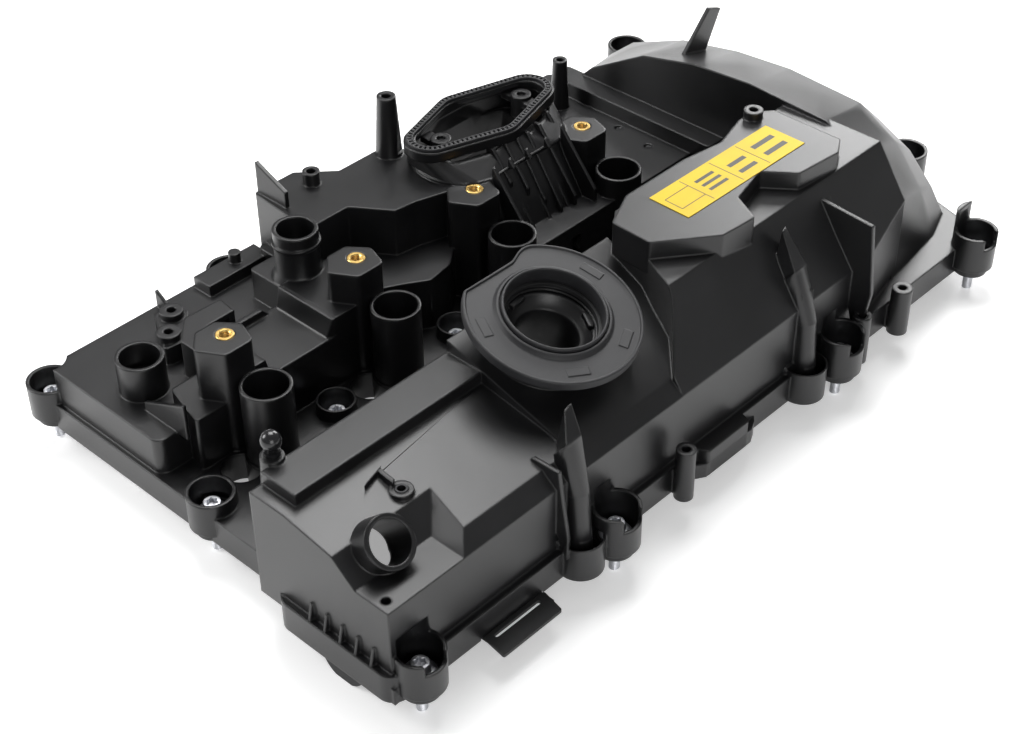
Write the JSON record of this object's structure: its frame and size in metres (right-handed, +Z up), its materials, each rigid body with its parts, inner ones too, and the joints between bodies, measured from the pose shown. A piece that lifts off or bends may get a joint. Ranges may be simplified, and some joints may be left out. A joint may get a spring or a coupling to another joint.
{
  "type": "engine valve cover",
  "caption": "Moulded plastic engine valve cover with cam housings, plug wells, oil filler collar, oval air duct, oil separator, seals and cover screws.",
  "frame": {"origin": "axis of the first spark plug well, on the sealing face", "axes": "+X along the row of plug wells to the timing chain end, +Y to the intake side, +Z up, out of the sealing face"},
  "size_m": [0.534, 0.3223, 0.132],
  "materials": {
    "moulding": "fine-grained satin",
    "rubber": "matt",
    "collar_rubber": "matt",
    "valve": "satin",
    "spring_steel": "bright",
    "steel": "satin",
    "zinc": "bright zinc",
    "brass": "turned",
    "stud": "gloss",
    "label": "printed film"
  },
  "bodies": {
    "cover": {"cover_moulding": "moulding", "perimeter_gasket": "rubber", "well_gasket_1": "rubber", "well_gasket_2": "rubber", "well_gasket_3": "rubber", "well_gasket_4": "rubber", "separator_baffle": "moulding", "separator_valve_spring": "spring_steel", "filler_collar": "collar_rubber", "filler_neck_seal": "rubber", "duct_gasket": "collar_rubber", "socket_seal": "rubber", "sensor_bush": "steel", "coil_inserts": "brass", "ball_stud": "stud", "label": "label", "cover_screws": "zinc", "screw_sleeves": "steel", "screw_grommets": "rubber"},
    "vent_valve": {"separator_valve_plate": "valve"}
  },
  "joints": [
    {"name": "vent_valve_lift", "type": "slide", "parent": "cover", "child": "vent_valve", "axis": [0, 0, 1], "range_m": [0, 0.004], "stiffness_N_per_m": 40, "springref_m": -0.008, "deforming": ["separator_valve_spring"]}
  ]
}
